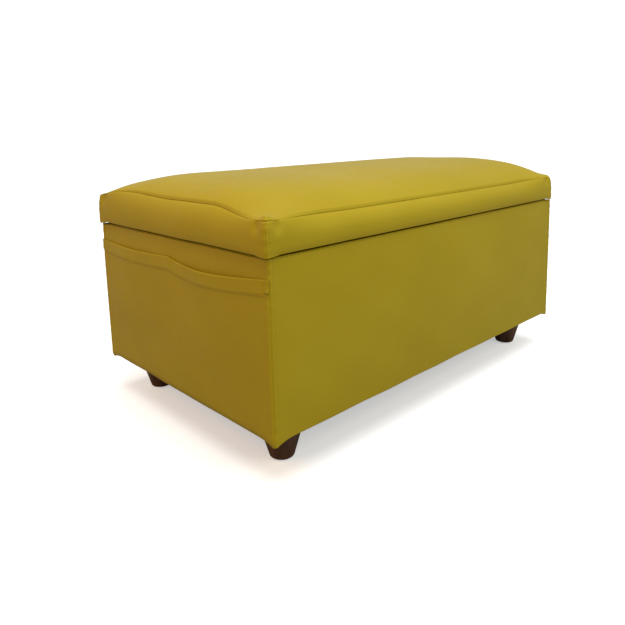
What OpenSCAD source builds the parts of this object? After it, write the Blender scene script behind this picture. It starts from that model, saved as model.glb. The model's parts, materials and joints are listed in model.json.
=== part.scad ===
/* [Body] */
// Length of the upholstered body, end to end
body_length = 900; // [800:10:1100]
// Depth of the upholstered body, front to back
body_depth = 560; // [480:10:700]
// Height of the upholstered body without its feet
body_height = 290; // [240:10:360]
// Thickness of the four wall boards and of the lid board
board_t = 15; // [12:1:18]
// Thickness of the board under the storage space
bottom_t = 12; // [9:1:18]
// Side of the square post in each inner corner
post = 30; // [20:1:40]
// Thickness of the foam sheet on the outside of each wall
foam_t = 5; // [3:1:10]
// Thickness of the leatherette
skin_t = 1.2; // [0.8:0.1:2]

/* [Lid] */
// Space between the body's rim and the lid, which the hinge leaves fill
lid_gap = 4; // [4:0.2:6]
// How far the lid stands over the front and both ends
lid_overhang = 3; // [0:1:8]
// Height of the lid's side band, from its underside to the top seam
band_height = 51; // [40:1:80]
// Rise of the crowned cushion above the top seam
crown_rise = 55; // [20:1:80]
// Width of the rounded shoulder between the top seam and the flat of the crown
crown_run = 110; // [40:5:180]

/* [End pocket] */
// Depth of the pocket's mouth below the body's rim
pocket_drop = 35; // [20:5:80]
// How far the slack mouth stands out in its middle
pocket_bow = 10; // [7:1:12]

/* [Feet] */
// Height of the feet
foot_height = 75; // [60:5:120]
// Diameter of a foot against the body
foot_top_d = 84; // [60:2:100]
// Diameter of a foot at the floor
foot_base_d = 41; // [36:1:60]
// Distance from each outer face of the body to the centre of a foot
foot_inset = 74; // [60:1:110]

/* [Hinges and stays] */
// Distance of each hinge from the middle of the body
hinge_offset = 270; // [150:10:340]
// Length of a hinge
hinge_length = 65; // [60:5:90]
// Length of each stay arm between its pivots
stay_arm = 160; // [140:5:170]

/* [Hidden] */
$fn = 48;

// Colours
leatherette = [0.70, 0.60, 0.14];
pale_board = [0.80, 0.68, 0.50];
dark_wood = [0.20, 0.10, 0.06];
foam_colour = [0.93, 0.90, 0.78];
black_cloth = [0.10, 0.10, 0.10];
grey_cloth = [0.22, 0.21, 0.20];
zinc = [0.75, 0.75, 0.77];

// Thin sheets
cloth_t = 0.8;             // dust cover, lid liner and floor lining
lining_t = 1;              // lining of the storage walls
floor_t = 3;               // hardboard under the floor lining
cloth_border = 12;         // leatherette left showing round a liner
rim_flap = 35;             // leatherette turned down inside the rim
under_turn = 30;           // leatherette turned under a board
foam_wrap = 9;             // foam round the lid board's edge, at the front and both ends
back_wrap = 6;             // the same along its hinged edge
joint_gap = 0.5;           // play round the loose floor panel

// Heights, from the floor up
body_bottom = foot_height;
body_top = body_bottom + body_height;
bottom_z = body_bottom + cloth_t + skin_t;
wall_z = bottom_z + bottom_t;
wall_top = body_top - skin_t;
floor_top = wall_z + floor_t + cloth_t;
flap_z = body_top - rim_flap;
lid_bottom = body_top + lid_gap;
lid_board_z = lid_bottom + cloth_t + skin_t;
lid_foam_z = lid_board_z + board_t;
seam_z = lid_bottom + band_height;

// Half widths in plan
wall_x = body_length / 2 - skin_t - foam_t;
wall_y = body_depth / 2 - skin_t - foam_t;
cav_x = wall_x - board_t;
cav_y = wall_y - board_t;
lid_length = body_length + 2 * lid_overhang;
lid_depth = body_depth + lid_overhang;
lid_shift = -lid_overhang / 2;
foot_x = body_length / 2 - foot_inset;
foot_y = body_depth / 2 - foot_inset;

// Feet, their bolts and tee nuts
glide_r = 11;
glide_t = 2;
foot_round = 4;            // rounding of a foot's lower edge
bolt_r = 4;
bolt_in_foot = 40;
nut_r = 5;
nut_flange_r = 11;
nut_flange_t = 1.5;

// Hinges: the leaves lie in the gap, and the knuckles stand behind the body
leaf_t = 1.6;
leaf_reach = 21;           // how far a leaf reaches in from the body's back
knuckle_r = 4;
knuckle_cut = 0.4;         // clearance round the other leaf's knuckles
knuckles = 5;
pin_r = 2;
running = 0.05;            // radial clearance of a turning pin
hinge_stand = 5.5;         // distance of the pin behind the body's back
hinge_y = body_depth / 2 + hinge_stand;
hinge_z = body_top + lid_gap / 2;
hinge_screw_inset = 16;
hinge_screw_y = body_depth / 2 - hinge_screw_inset;
hinge_screw_step = 22;
knuckle_w = hinge_length / knuckles;

// Wood screws
screw_r = 1.75;
screw_head_r = 3.4;
screw_head_t = 1.65;
screw_point = 2;
frame_screw_l = board_t + 20;
frame_screw_rows = [0.2, 0.5, 0.8];    // shares of a wall's height
frame_screw_stagger = 12;  // how much higher the end walls' screws are
base_screw_l = 20;         // hinge into the body's rim
lid_screw_l = 16;          // hinge into the lid board
stay_screw_l = 16;         // base bracket into the end wall
flange_screw_l = 15;       // lid bracket into the lid board

// Lid stays: two equal arms and two equal pivot distances from the hinge make a
// parallelogram, so the lower arm turns with the lid and the upper arm only shifts
plate_t = 2;
play = 0.2;                // air between neighbouring layers of a stay
arm_w = 16;
stay_pin_r = 3;
open_play = 0.4;           // radial clearance of the pivot at the lid
rivet_head_r = 5.5;
rivet_head_t = 1.4;
rivet_back_t = 1;          // head of an elbow rivet on its outer side
lid_pivot_drop = 18;       // lid pivot below the hinge pin
fold_angle = 10;           // angle between the two pivots, seen from the hinge, with the lid shut
lid_pivot_angle = asin(lid_pivot_drop / stay_arm);
base_pivot_angle = lid_pivot_angle + fold_angle;
hinge_point = [hinge_y, hinge_z];
to_lid_pivot = stay_arm * [-cos(lid_pivot_angle), -sin(lid_pivot_angle)];
to_base_pivot = stay_arm * [-cos(base_pivot_angle), -sin(base_pivot_angle)];
lid_pivot = hinge_point + to_lid_pivot;
base_pivot = hinge_point + to_base_pivot;
elbow = base_pivot + to_lid_pivot;
bracket_inner = cav_x - skin_t - plate_t;       // |x| of the base bracket's free face
lower_arm_x = bracket_inner - play - plate_t;   // |x| of the lower arm's inner face
upper_arm_x = lower_arm_x - play - plate_t;     // |x| of the upper arm's inner face
lid_flange_w = 20;
lid_flange_l = 34;
flange_screw_half_step = 11;
flange_screw_shift = 3;    // from the flange's middle towards its free edge
lug_margin = 1;            // lid bracket's metal beyond the arm's width, each side
bracket_screw = 18;        // distance of the base bracket's screws from its pivot

// A plan outline raised into a slab between two heights
module slab(z0, z1) {
    translate([0, 0, z0]) linear_extrude(z1 - z0) children();
}

module sheet_plan(length, depth) {
    square([length, depth], center = true);
}

// The storage space in plan, less a margin all round: a rectangle notched by the posts
module cavity_plan(margin) {
    difference() {
        sheet_plan(2 * (cav_x - margin), 2 * (cav_y - margin));
        for (sx = [-1, 1], sy = [-1, 1])
            translate([sx * (cav_x - post / 2), sy * (cav_y - post / 2)])
                square(post + 2 * margin, center = true);
    }
}

// The share of a rectangle that belongs to one side, cut at 45 degrees at each corner
module mitre_plan(length, depth, side) {
    hx = length / 2;
    hy = depth / 2;
    if (side == "front") polygon([[-hx, -hy], [hx, -hy], [hx - hy, 0], [hy - hx, 0]]);
    if (side == "back") polygon([[-hx, hy], [hy - hx, 0], [hx - hy, 0], [hx, hy]]);
    if (side == "left") polygon([[-hx, -hy], [hy - hx, 0], [-hx, hy]]);
    if (side == "right") polygon([[hx, -hy], [hx, hy], [hx - hy, 0]]);
}

module at_feet() {
    for (sx = [-1, 1], sy = [-1, 1]) translate([sx * foot_x, sy * foot_y, 0]) children();
}

// A flat outline in the YZ plane, from x on for a thickness t
module upright(x, t) {
    translate([x, 0, 0]) rotate([90, 0, 90]) linear_extrude(t) children();
}

module on_left() {
    mirror([1, 0, 0]) children();
}

// A countersunk wood screw with its head's face at the origin, pointing down
module wood_screw(length) {
    rotate_extrude()
        polygon([[0, 0], [screw_head_r, 0], [screw_r, -screw_head_t], [screw_r, screw_point - length],
                 [0, -length]]);
}

// --- Frame ---------------------------------------------------------------

module wall_board(length, y) {
    color(pale_board) translate([0, y, 0]) slab(wall_z, wall_top) sheet_plan(length, board_t);
}

module front_panel() {
    wall_board(2 * wall_x, board_t / 2 - wall_y);
}

module back_panel() {
    wall_board(2 * wall_x, wall_y - board_t / 2);
}

module right_panel() {
    color(pale_board) translate([wall_x - board_t / 2, 0, 0])
        slab(wall_z, wall_top) sheet_plan(board_t, 2 * cav_y);
}

module left_panel() {
    on_left() right_panel();
}

module bottom_board() {
    color(pale_board) difference() {
        slab(bottom_z, wall_z) sheet_plan(2 * wall_x, 2 * wall_y);
        at_feet() {
            translate([0, 0, bottom_z - 1]) cylinder(r = nut_r, h = bottom_t + 2);
            translate([0, 0, wall_z - nut_flange_t]) cylinder(r = nut_flange_r, h = bottom_t);
        }
    }
}

module corner_post(sx, sy) {
    color(pale_board) translate([sx * (cav_x - post / 2), sy * (cav_y - post / 2), 0])
        slab(wall_z, wall_top) square(post, center = true);
}

module corner_post_front_left() corner_post(-1, -1);
module corner_post_front_right() corner_post(1, -1);
module corner_post_back_left() corner_post(-1, 1);
module corner_post_back_right() corner_post(1, 1);

// Three screws through each wall board into each post, staggered where two walls meet
module frame_screws() {
    color(zinc) for (sx = [-1, 1], sy = [-1, 1], row = frame_screw_rows) {
        z = wall_z + row * (wall_top - wall_z);
        translate([sx * (cav_x - post / 2), sy * wall_y, z]) rotate([sy * -90, 0, 0])
            wood_screw(frame_screw_l);
        translate([sx * wall_x, sy * (cav_y - post / 2), z + frame_screw_stagger]) rotate([0, sx * 90, 0])
            wood_screw(frame_screw_l);
    }
}

// --- Body upholstery -----------------------------------------------------

module foam_front() {
    color(foam_colour) translate([0, foam_t / 2 - wall_y - foam_t, 0])
        slab(bottom_z, wall_top) sheet_plan(2 * (wall_x + foam_t), foam_t);
}

module foam_back() {
    mirror([0, 1, 0]) foam_front();
}

module foam_right() {
    color(foam_colour) translate([wall_x + foam_t / 2, 0, 0])
        slab(bottom_z, wall_top) sheet_plan(foam_t, 2 * wall_y);
}

module foam_left() {
    on_left() foam_right();
}

// The sewn sleeve of the body: outer wall, top of the rim, the flap stapled down inside
// the rim and the strip turned under the bottom board
module body_sleeve() {
    inner_l = body_length - 2 * skin_t;
    inner_d = body_depth - 2 * skin_t;
    slab(bottom_z - skin_t, body_top) difference() {
        sheet_plan(body_length, body_depth);
        sheet_plan(inner_l, inner_d);
    }
    slab(wall_top, body_top) difference() {
        sheet_plan(body_length, body_depth);
        cavity_plan(skin_t);
    }
    slab(flap_z, wall_top) difference() {
        cavity_plan(0);
        cavity_plan(skin_t);
    }
    slab(bottom_z - skin_t, bottom_z) difference() {
        sheet_plan(body_length, body_depth);
        sheet_plan(inner_l - 2 * under_turn, inner_d - 2 * under_turn);
    }
}

module body_cover(side) {
    color(leatherette) intersection() {
        body_sleeve();
        slab(0, seam_z) mitre_plan(body_length, body_depth, side);
    }
}

module cover_front() body_cover("front");
module cover_back() body_cover("back");
module cover_left() body_cover("left");
module cover_right() body_cover("right");

// Space taken by the pocket on the end wall: flat at the bottom and along both upright
// edges, bowed at the mouth. wall is the sheet's thickness, or 0 for the hollow inside.
module pouch(wall, low, high, half) {
    steps = 16;
    bow = [for (i = [0:steps]) let (u = 2 * i / steps - 1) [-wall - pocket_bow * (1 - u * u), u * half]];
    translate([-body_length / 2, 0, 0]) hull() {
        slab(low, low + 0.1) translate([-wall - 0.2, -half]) square([wall + 0.2, 2 * half]);
        slab(high - 0.1, high) polygon(concat([[0, -half]], bow, [[0, half]]));
    }
}

module side_pocket() {
    mouth = body_top - pocket_drop;
    edge = 6;
    hem = 15;
    color(leatherette) difference() {
        pouch(skin_t, body_bottom + cloth_t, mouth, body_depth / 2);
        pouch(0, body_bottom + hem, mouth + 1, body_depth / 2 - edge);
    }
}

module floor_panel() {
    color(pale_board) slab(wall_z, wall_z + floor_t) cavity_plan(lining_t + joint_gap);
}

module lining_floor() {
    color(grey_cloth) slab(wall_z + floor_t, floor_top) cavity_plan(lining_t + joint_gap);
}

module lining_walls() {
    color(grey_cloth) slab(wall_z, flap_z) difference() {
        cavity_plan(0);
        cavity_plan(lining_t);
    }
}

module dust_cover() {
    color(black_cloth) difference() {
        slab(body_bottom, body_bottom + cloth_t)
            sheet_plan(body_length - 2 * cloth_border, body_depth - 2 * cloth_border);
        at_feet() translate([0, 0, body_bottom - 1]) cylinder(r = bolt_r, h = 3);
    }
}

// --- Feet ----------------------------------------------------------------

// A turned, tapered foot with its lower edge rounded
module foot(sx, sy) {
    base_r = foot_base_d / 2;
    rounding = [for (a = [-90:15:0])
        [base_r + foot_round * (cos(a) - 1), glide_t + foot_round * (sin(a) + 1)]];
    color(dark_wood) translate([sx * foot_x, sy * foot_y, 0]) difference() {
        rotate_extrude()
            polygon(concat([[0, glide_t]], rounding, [[foot_top_d / 2, foot_height], [0, foot_height]]));
        translate([0, 0, foot_height - bolt_in_foot]) cylinder(r = bolt_r, h = bolt_in_foot + 1);
    }
}

module foot_front_left() foot(-1, -1);
module foot_front_right() foot(1, -1);
module foot_back_left() foot(-1, 1);
module foot_back_right() foot(1, 1);

module foot_bolts() {
    color(zinc) at_feet() translate([0, 0, foot_height - bolt_in_foot])
        cylinder(r = bolt_r, h = bolt_in_foot + wall_z - foot_height);
}

module tee_nuts() {
    color(zinc) at_feet() difference() {
        union() {
            translate([0, 0, bottom_z]) cylinder(r = nut_r, h = bottom_t);
            translate([0, 0, wall_z - nut_flange_t]) cylinder(r = nut_flange_r, h = nut_flange_t);
        }
        translate([0, 0, bottom_z - 1]) cylinder(r = bolt_r, h = bottom_t + 2);
    }
}

module foot_glides() {
    color(black_cloth) at_feet() cylinder(r = glide_r, h = glide_t);
}

// --- Hinges --------------------------------------------------------------

module hinge_rod(r, x0, x1) {
    translate([x0, hinge_y, hinge_z]) rotate([0, 90, 0]) cylinder(r = r, h = x1 - x0);
}

// One leaf with every second knuckle; first is 0 for the outer knuckles and 1 for the others
module hinge_leaf(first, leaf_z, bore, screw_turn) {
    half = hinge_length / 2;
    other = 1 - first;
    color(zinc) difference() {
        union() {
            translate([-half, body_depth / 2 - leaf_reach, leaf_z])
                cube([hinge_length, hinge_y - body_depth / 2 + leaf_reach, leaf_t]);
            for (i = [first:2:knuckles - 1])
                hinge_rod(knuckle_r, i * knuckle_w - half + play, (i + 1) * knuckle_w - half - play);
        }
        for (i = [other:2:knuckles - 1])
            hinge_rod(knuckle_r + knuckle_cut, i * knuckle_w - half, (i + 1) * knuckle_w - half);
        hinge_rod(bore, -half - 1, half + 1);
        for (x = [-1:1]) translate([x * hinge_screw_step, hinge_screw_y, leaf_z + leaf_t / 2])
            rotate([screw_turn, 0, 0]) translate([0, 0, leaf_t / 2]) wood_screw(base_screw_l);
    }
}

module hinge_base_leaf() hinge_leaf(0, body_top, pin_r, 0);
module hinge_lid_leaf() hinge_leaf(1, lid_bottom - leaf_t, pin_r + running, 180);

module hinge_pin() {
    color(zinc) hinge_rod(pin_r, -hinge_length / 2, hinge_length / 2);
}

module hinge_base_leaf_left() translate([-hinge_offset, 0, 0]) hinge_base_leaf();
module hinge_base_leaf_right() translate([hinge_offset, 0, 0]) hinge_base_leaf();
module hinge_lid_leaf_left() translate([-hinge_offset, 0, 0]) hinge_lid_leaf();
module hinge_lid_leaf_right() translate([hinge_offset, 0, 0]) hinge_lid_leaf();
module hinge_pin_left() translate([-hinge_offset, 0, 0]) hinge_pin();
module hinge_pin_right() translate([hinge_offset, 0, 0]) hinge_pin();

// --- Lid stays, drawn at the right end and mirrored for the left ----------

module stay_pin_hole(point, r) {
    translate(point) circle(r = r);
}

module arm_outline(from, to) {
    run = to - from;
    translate(from) rotate(atan2(run[1], run[0])) {
        circle(d = arm_w);
        translate([0, -arm_w / 2]) square([norm(run), arm_w]);
        translate([norm(run), 0]) circle(d = arm_w);
    }
}

module stay_lower_arm() {
    color(zinc) upright(lower_arm_x, plate_t) difference() {
        arm_outline(base_pivot, elbow);
        stay_pin_hole(base_pivot, stay_pin_r + running);
        stay_pin_hole(elbow, stay_pin_r);
    }
}

module stay_upper_arm() {
    color(zinc) upright(upper_arm_x, plate_t) difference() {
        arm_outline(elbow, lid_pivot);
        stay_pin_hole(elbow, stay_pin_r + running);
        stay_pin_hole(lid_pivot, stay_pin_r + open_play);
    }
}

module stay_base_bracket() {
    near = 9;              // from the pivot to the plate's near edges
    far = 26;              // from the pivot to its far edges
    color(zinc) difference() {
        upright(bracket_inner, plate_t) difference() {
            translate(base_pivot + [-near, -far]) square(near + far);
            stay_pin_hole(base_pivot, stay_pin_r);
        }
        stay_base_screws();
    }
}

// An angle bracket: one flange on the lid, one hanging into the storage space
module stay_lid_bracket() {
    color(zinc) difference() {
        union() {
            upright(lower_arm_x, plate_t) difference() {
                union() {
                    lug_w = arm_w + 2 * lug_margin;
                    translate(lid_pivot) circle(d = lug_w);
                    translate(lid_pivot - [lug_w / 2, 0]) square([lug_w, lid_bottom - lid_pivot[1]]);
                }
                stay_pin_hole(lid_pivot, stay_pin_r);
            }
            translate([lower_arm_x + plate_t - lid_flange_w, lid_pivot[0] - lid_flange_l / 2,
                       lid_bottom - plate_t])
                cube([lid_flange_w, lid_flange_l, plate_t]);
        }
        stay_lid_screws();
    }
}

// A rivet along X from its inner head to x1; outer_head adds a head at the far end
module stay_rivet(point, x0, x1, outer_head = false) {
    color(zinc) {
        upright(x0 - play - rivet_head_t, rivet_head_t) stay_pin_hole(point, rivet_head_r);
        upright(x0 - play, x1 - x0 + play) stay_pin_hole(point, stay_pin_r);
        if (outer_head) upright(x1, rivet_back_t) stay_pin_hole(point, rivet_head_r);
    }
}

module stay_base_rivet() stay_rivet(base_pivot, lower_arm_x, bracket_inner + plate_t);
module stay_elbow_rivet() stay_rivet(elbow, upper_arm_x, lower_arm_x + plate_t, outer_head = true);
module stay_lid_rivet() stay_rivet(lid_pivot, upper_arm_x, lower_arm_x + plate_t);

module stay_base_screws() {
    color(zinc) for (at = [[0, -bracket_screw], [bracket_screw, 0]])
        translate([bracket_inner, base_pivot[0] + at[0], base_pivot[1] + at[1]])
            rotate([0, -90, 0]) wood_screw(stay_screw_l);
}

module stay_lid_screws() {
    color(zinc) for (s = [-1, 1])
        translate([lower_arm_x + plate_t - lid_flange_w / 2 - flange_screw_shift,
                   lid_pivot[0] + s * flange_screw_half_step, lid_bottom - plate_t])
            rotate([180, 0, 0]) wood_screw(flange_screw_l);
}

module both_ends() {
    children();
    on_left() children();
}

module stay_base_bracket_right() stay_base_bracket();
module stay_base_bracket_left() on_left() stay_base_bracket();
module stay_lid_bracket_right() stay_lid_bracket();
module stay_lid_bracket_left() on_left() stay_lid_bracket();
module stay_lower_arm_right() stay_lower_arm();
module stay_lower_arm_left() on_left() stay_lower_arm();
module stay_upper_arm_right() stay_upper_arm();
module stay_upper_arm_left() on_left() stay_upper_arm();
module stay_elbow_rivet_right() stay_elbow_rivet();
module stay_elbow_rivet_left() on_left() stay_elbow_rivet();
module stay_base_rivets() both_ends() stay_base_rivet();
module stay_lid_rivets() both_ends() stay_lid_rivet();

module base_hardware_screws() {
    both_ends() stay_base_screws();
    color(zinc) for (s = [-1, 1], x = [-1:1])
        translate([s * hinge_offset + x * hinge_screw_step, hinge_screw_y, body_top + leaf_t])
            wood_screw(base_screw_l);
}

module lid_hardware_screws() {
    both_ends() stay_lid_screws();
    color(zinc) for (s = [-1, 1], x = [-1:1])
        translate([s * hinge_offset + x * hinge_screw_step, hinge_screw_y, lid_bottom - leaf_t])
            rotate([180, 0, 0]) wood_screw(lid_screw_l);
}

// --- Lid -----------------------------------------------------------------

module lid_plan(inset) {
    translate([0, lid_shift]) sheet_plan(lid_length - 2 * inset, lid_depth - 2 * inset);
}

// The board stops short of the band all round, where foam wraps round its edge
module lid_board_plan() {
    translate([0, lid_shift + (foam_wrap - back_wrap) / 2])
        sheet_plan(lid_length - 2 * (skin_t + foam_wrap), lid_depth - 2 * skin_t - foam_wrap - back_wrap);
}

module lid_board() {
    color(pale_board) slab(lid_board_z, lid_foam_z) lid_board_plan();
}

// The crowned top of the cushion above the seam, its shoulder a quarter ellipse;
// inset is the leatherette left off all round, and low lets the shape start lower
module crown(inset, low) {
    steps = 8;
    lift = 0.02;
    hull() for (i = [0:steps]) {
        t = 90 * i / steps;
        z = seam_z + (crown_rise - inset) * sin(t) - (i == 0 ? low : lift);
        slab(z, z + lift) lid_plan(inset + crown_run * (1 - cos(t)));
    }
}

module lid_foam() {
    color(foam_colour) union() {
        difference() {
            slab(lid_board_z, seam_z) lid_plan(skin_t);
            slab(lid_board_z - 1, lid_foam_z) lid_board_plan();
        }
        crown(skin_t, 1);
    }
}

module lid_top_cover() {
    color(leatherette) difference() {
        crown(0, 0);
        crown(skin_t, 1);
    }
}

// The sewn side band of the lid: outer wall and the strip turned under the board
module lid_band() {
    slab(lid_board_z - skin_t, seam_z) difference() {
        lid_plan(0);
        lid_plan(skin_t);
    }
    slab(lid_board_z - skin_t, lid_board_z) difference() {
        lid_plan(0);
        lid_plan(skin_t + under_turn);
    }
}

module lid_band_side(side) {
    color(leatherette) intersection() {
        lid_band();
        translate([0, lid_shift, 0]) slab(lid_bottom - 1, seam_z + 1) mitre_plan(lid_length, lid_depth, side);
    }
}

module lid_band_front() lid_band_side("front");
module lid_band_back() lid_band_side("back");
module lid_band_left() lid_band_side("left");
module lid_band_right() lid_band_side("right");

module lid_liner() {
    color(black_cloth) slab(lid_bottom, lid_bottom + cloth_t) lid_plan(cloth_border);
}

front_panel();
back_panel();
left_panel();
right_panel();
bottom_board();
corner_post_front_left();
corner_post_front_right();
corner_post_back_left();
corner_post_back_right();
frame_screws();
foam_front();
foam_back();
foam_left();
foam_right();
cover_front();
cover_back();
cover_left();
cover_right();
side_pocket();
floor_panel();
lining_floor();
lining_walls();
dust_cover();
foot_front_left();
foot_front_right();
foot_back_left();
foot_back_right();
foot_bolts();
tee_nuts();
foot_glides();
hinge_base_leaf_left();
hinge_base_leaf_right();
hinge_pin_left();
hinge_pin_right();
stay_base_bracket_left();
stay_base_bracket_right();
stay_base_rivets();
base_hardware_screws();
lid_board();
lid_foam();
lid_top_cover();
lid_band_front();
lid_band_back();
lid_band_left();
lid_band_right();
lid_liner();
hinge_lid_leaf_left();
hinge_lid_leaf_right();
stay_lid_bracket_left();
stay_lid_bracket_right();
stay_lid_rivets();
lid_hardware_screws();
stay_lower_arm_left();
stay_lower_arm_right();
stay_elbow_rivet_left();
stay_elbow_rivet_right();
stay_upper_arm_left();
stay_upper_arm_right();
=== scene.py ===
"""The looks of a storage ottoman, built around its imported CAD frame. All lengths are in metres."""
import json
import math

import bpy
import numpy as np
from mathutils import Matrix, Vector


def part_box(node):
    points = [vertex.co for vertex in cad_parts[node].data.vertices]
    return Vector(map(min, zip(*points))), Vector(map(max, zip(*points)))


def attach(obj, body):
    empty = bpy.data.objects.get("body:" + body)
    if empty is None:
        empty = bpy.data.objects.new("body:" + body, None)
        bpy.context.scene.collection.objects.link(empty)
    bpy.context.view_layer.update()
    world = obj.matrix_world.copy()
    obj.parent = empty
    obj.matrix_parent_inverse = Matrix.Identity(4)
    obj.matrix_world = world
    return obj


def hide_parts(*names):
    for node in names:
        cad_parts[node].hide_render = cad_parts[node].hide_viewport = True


MM = 0.001
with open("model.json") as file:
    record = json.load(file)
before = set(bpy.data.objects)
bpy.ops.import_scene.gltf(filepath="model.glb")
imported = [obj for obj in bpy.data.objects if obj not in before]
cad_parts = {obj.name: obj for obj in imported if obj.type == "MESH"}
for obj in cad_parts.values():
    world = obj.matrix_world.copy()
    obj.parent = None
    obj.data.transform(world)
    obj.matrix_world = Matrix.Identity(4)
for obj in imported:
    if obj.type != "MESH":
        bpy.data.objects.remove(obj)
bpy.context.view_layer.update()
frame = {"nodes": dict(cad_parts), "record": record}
scene = bpy.context.scene

# Sizes read from the frame
BODY_LOW, BODY_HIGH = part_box("cover_front")
HALF_LENGTH = BODY_HIGH.x
HALF_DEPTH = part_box("cover_back")[1].y
RIM_Z = BODY_HIGH.z
BODY_Z = BODY_LOW.z
CAVITY_X = -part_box("left_panel")[1].x
CAVITY_Y = -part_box("front_panel")[1].y
POST_X, POST_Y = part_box("corner_post_back_right")[0].xy
FLAP_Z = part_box("lining_walls")[1].z
FLOOR_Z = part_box("lining_floor")[1].z
LID_LOW, LID_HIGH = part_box("lid_band_front")
LID_HALF_LENGTH = LID_HIGH.x
LID_HALF_DEPTH = (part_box("lid_band_back")[1].y - LID_LOW.y) / 2
LID_MIDDLE_Y = LID_LOW.y + LID_HALF_DEPTH
LID_Z = LID_LOW.z
SEAM_Z = LID_HIGH.z
CROWN_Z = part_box("lid_top_cover")[1].z
MOUTH_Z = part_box("side_pocket")[1].z
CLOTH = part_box("lid_liner")[1].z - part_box("lid_liner")[0].z
SKIN = HALF_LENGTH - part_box("foam_right")[1].x

SIDES = ("front", "right", "back", "left")


# --- Camera ---------------------------------------------------------------

CAMERA_PLACE = (-0.9644, -0.9251, 0.5452)
CAMERA_AZIMUTH = math.radians(43.11)     # of the view, from +Y towards +X
CAMERA_DROP = math.radians(9.07)         # how far it looks down
CAMERA_ROLL = math.radians(-1.47)
CAMERA_LENS = 33.66                      # millimetres, before a sensor 36 wide
CAMERA_SHIFT = -0.14


def make_camera():
    """The camera stands off the front left corner, a little above the lid, turned to the corner."""
    level = Vector((math.cos(CAMERA_AZIMUTH), -math.sin(CAMERA_AZIMUTH), 0))
    ahead = Vector((math.sin(CAMERA_AZIMUTH), math.cos(CAMERA_AZIMUTH), 0))
    forward = math.cos(CAMERA_DROP) * ahead + Vector((0, 0, -math.sin(CAMERA_DROP)))
    up = level.cross(forward)
    right = math.cos(CAMERA_ROLL) * level + math.sin(CAMERA_ROLL) * up
    upright = math.cos(CAMERA_ROLL) * up - math.sin(CAMERA_ROLL) * level
    data = bpy.data.cameras.new("camera")
    data.sensor_width = 36
    data.lens = CAMERA_LENS
    data.shift_y = CAMERA_SHIFT
    camera = bpy.data.objects.new("camera", data)
    scene.collection.objects.link(camera)
    turn = Matrix((right, upright, -forward)).transposed().to_4x4()
    camera.matrix_world = Matrix.Translation(CAMERA_PLACE) @ turn
    scene.camera = camera


# --- Materials ------------------------------------------------------------

LEATHER_TINT = (1.0, 0.86, 0.30, 1.0)   # of the leatherette's and its thread's gloss
NOISE_RANGE = (0.3, 0.7)                # where nearly all of a noise's values lie


class Nodes:
    """A material's node tree with short ways to add to it."""

    def __init__(self, name, **sockets):
        self.material = bpy.data.materials.new(name)
        self.material.use_nodes = True
        self.tree = self.material.node_tree
        self.shader = self.tree.nodes["Principled BSDF"]
        for socket, value in sockets.items():
            self.shader.inputs[socket.replace("_", " ")].default_value = value
        self.place = self.add("ShaderNodeTexCoord").outputs["Object"]

    def add(self, kind, sockets=(), **settings):
        """A new node with its settings and its sockets' values."""
        node = self.tree.nodes.new(kind)
        for name, value in settings.items():
            setattr(node, name, value)
        for name, value in dict(sockets).items():
            node.inputs[name].default_value = value
        return node

    def link(self, source, target):
        self.tree.links.new(source, target)

    def stretched(self, scale):
        """The object's coordinates, scaled along each axis."""
        mapping = self.add("ShaderNodeMapping", {"Scale": scale})
        self.link(self.place, mapping.inputs["Vector"])
        return mapping.outputs["Vector"]

    def noise(self, scale, detail=2.0, roughness=0.5, place=None):
        node = self.add("ShaderNodeTexNoise", {"Scale": scale, "Detail": detail, "Roughness": roughness})
        self.link(place or self.place, node.inputs["Vector"])
        return node.outputs["Fac"]

    def cells(self, scale, feature="DISTANCE_TO_EDGE"):
        node = self.add("ShaderNodeTexVoronoi", {"Scale": scale}, feature=feature)
        self.link(self.place, node.inputs["Vector"])
        return node.outputs["Distance"]

    def ramp(self, value, stops):
        """A colour ramp through stops of (place, colour)."""
        node = self.add("ShaderNodeValToRGB")
        for element, (at, colour) in zip(node.color_ramp.elements, (stops[0], stops[-1])):
            element.position = at
            element.color = (*colour, 1)
        for at, colour in stops[1:-1]:
            node.color_ramp.elements.new(at).color = (*colour, 1)
        self.link(value, node.inputs["Fac"])
        return node.outputs["Color"]

    def spread(self, value, low, high):
        """A noise's usual range, spread from low to high."""
        source = {"From Min": NOISE_RANGE[0], "From Max": NOISE_RANGE[1]}
        node = self.add("ShaderNodeMapRange", {**source, "To Min": low, "To Max": high})
        self.link(value, node.inputs["Value"])
        return node.outputs["Result"]

    def bump(self, height, distance, strength=1.0, after=None):
        """A bump of a height in metres, on top of an earlier one."""
        node = self.add("ShaderNodeBump", {"Strength": strength, "Distance": distance})
        self.link(height, node.inputs["Height"])
        if after:
            self.link(after, node.inputs["Normal"])
        return node.outputs["Normal"]

    def finish(self, colour=None, roughness=None, normal=None):
        """Link what is given to the shader."""
        for socket, name in ((colour, "Base Color"), (roughness, "Roughness"), (normal, "Normal")):
            if socket is not None:
                self.link(socket, self.shader.inputs[name])
        return self.material


def leatherette():
    """Mustard leatherette: a cloudy tone, a pebbled grain of about a millimetre, soft creases."""
    m = Nodes("mustard_leatherette", Specular_IOR_Level=0.32, Specular_Tint=LEATHER_TINT)
    cloud = m.noise(4.0, 3.0, 0.5)
    colour = m.ramp(cloud, [(0.30, (0.410, 0.312, 0.012)), (0.52, (0.430, 0.330, 0.014)),
                            (0.72, (0.450, 0.348, 0.017))])
    roughness = m.spread(m.noise(60, 3.0), 0.40, 0.52)
    creases = m.bump(m.noise(38, 4.0, 0.6), 0.0006, 0.25)
    pebbles = m.bump(m.cells(1150), 0.00012, 0.35, creases)
    pores = m.bump(m.noise(2600, 2.0), 0.00008, 0.3, pebbles)
    return m.finish(colour, roughness, pores)


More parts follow.
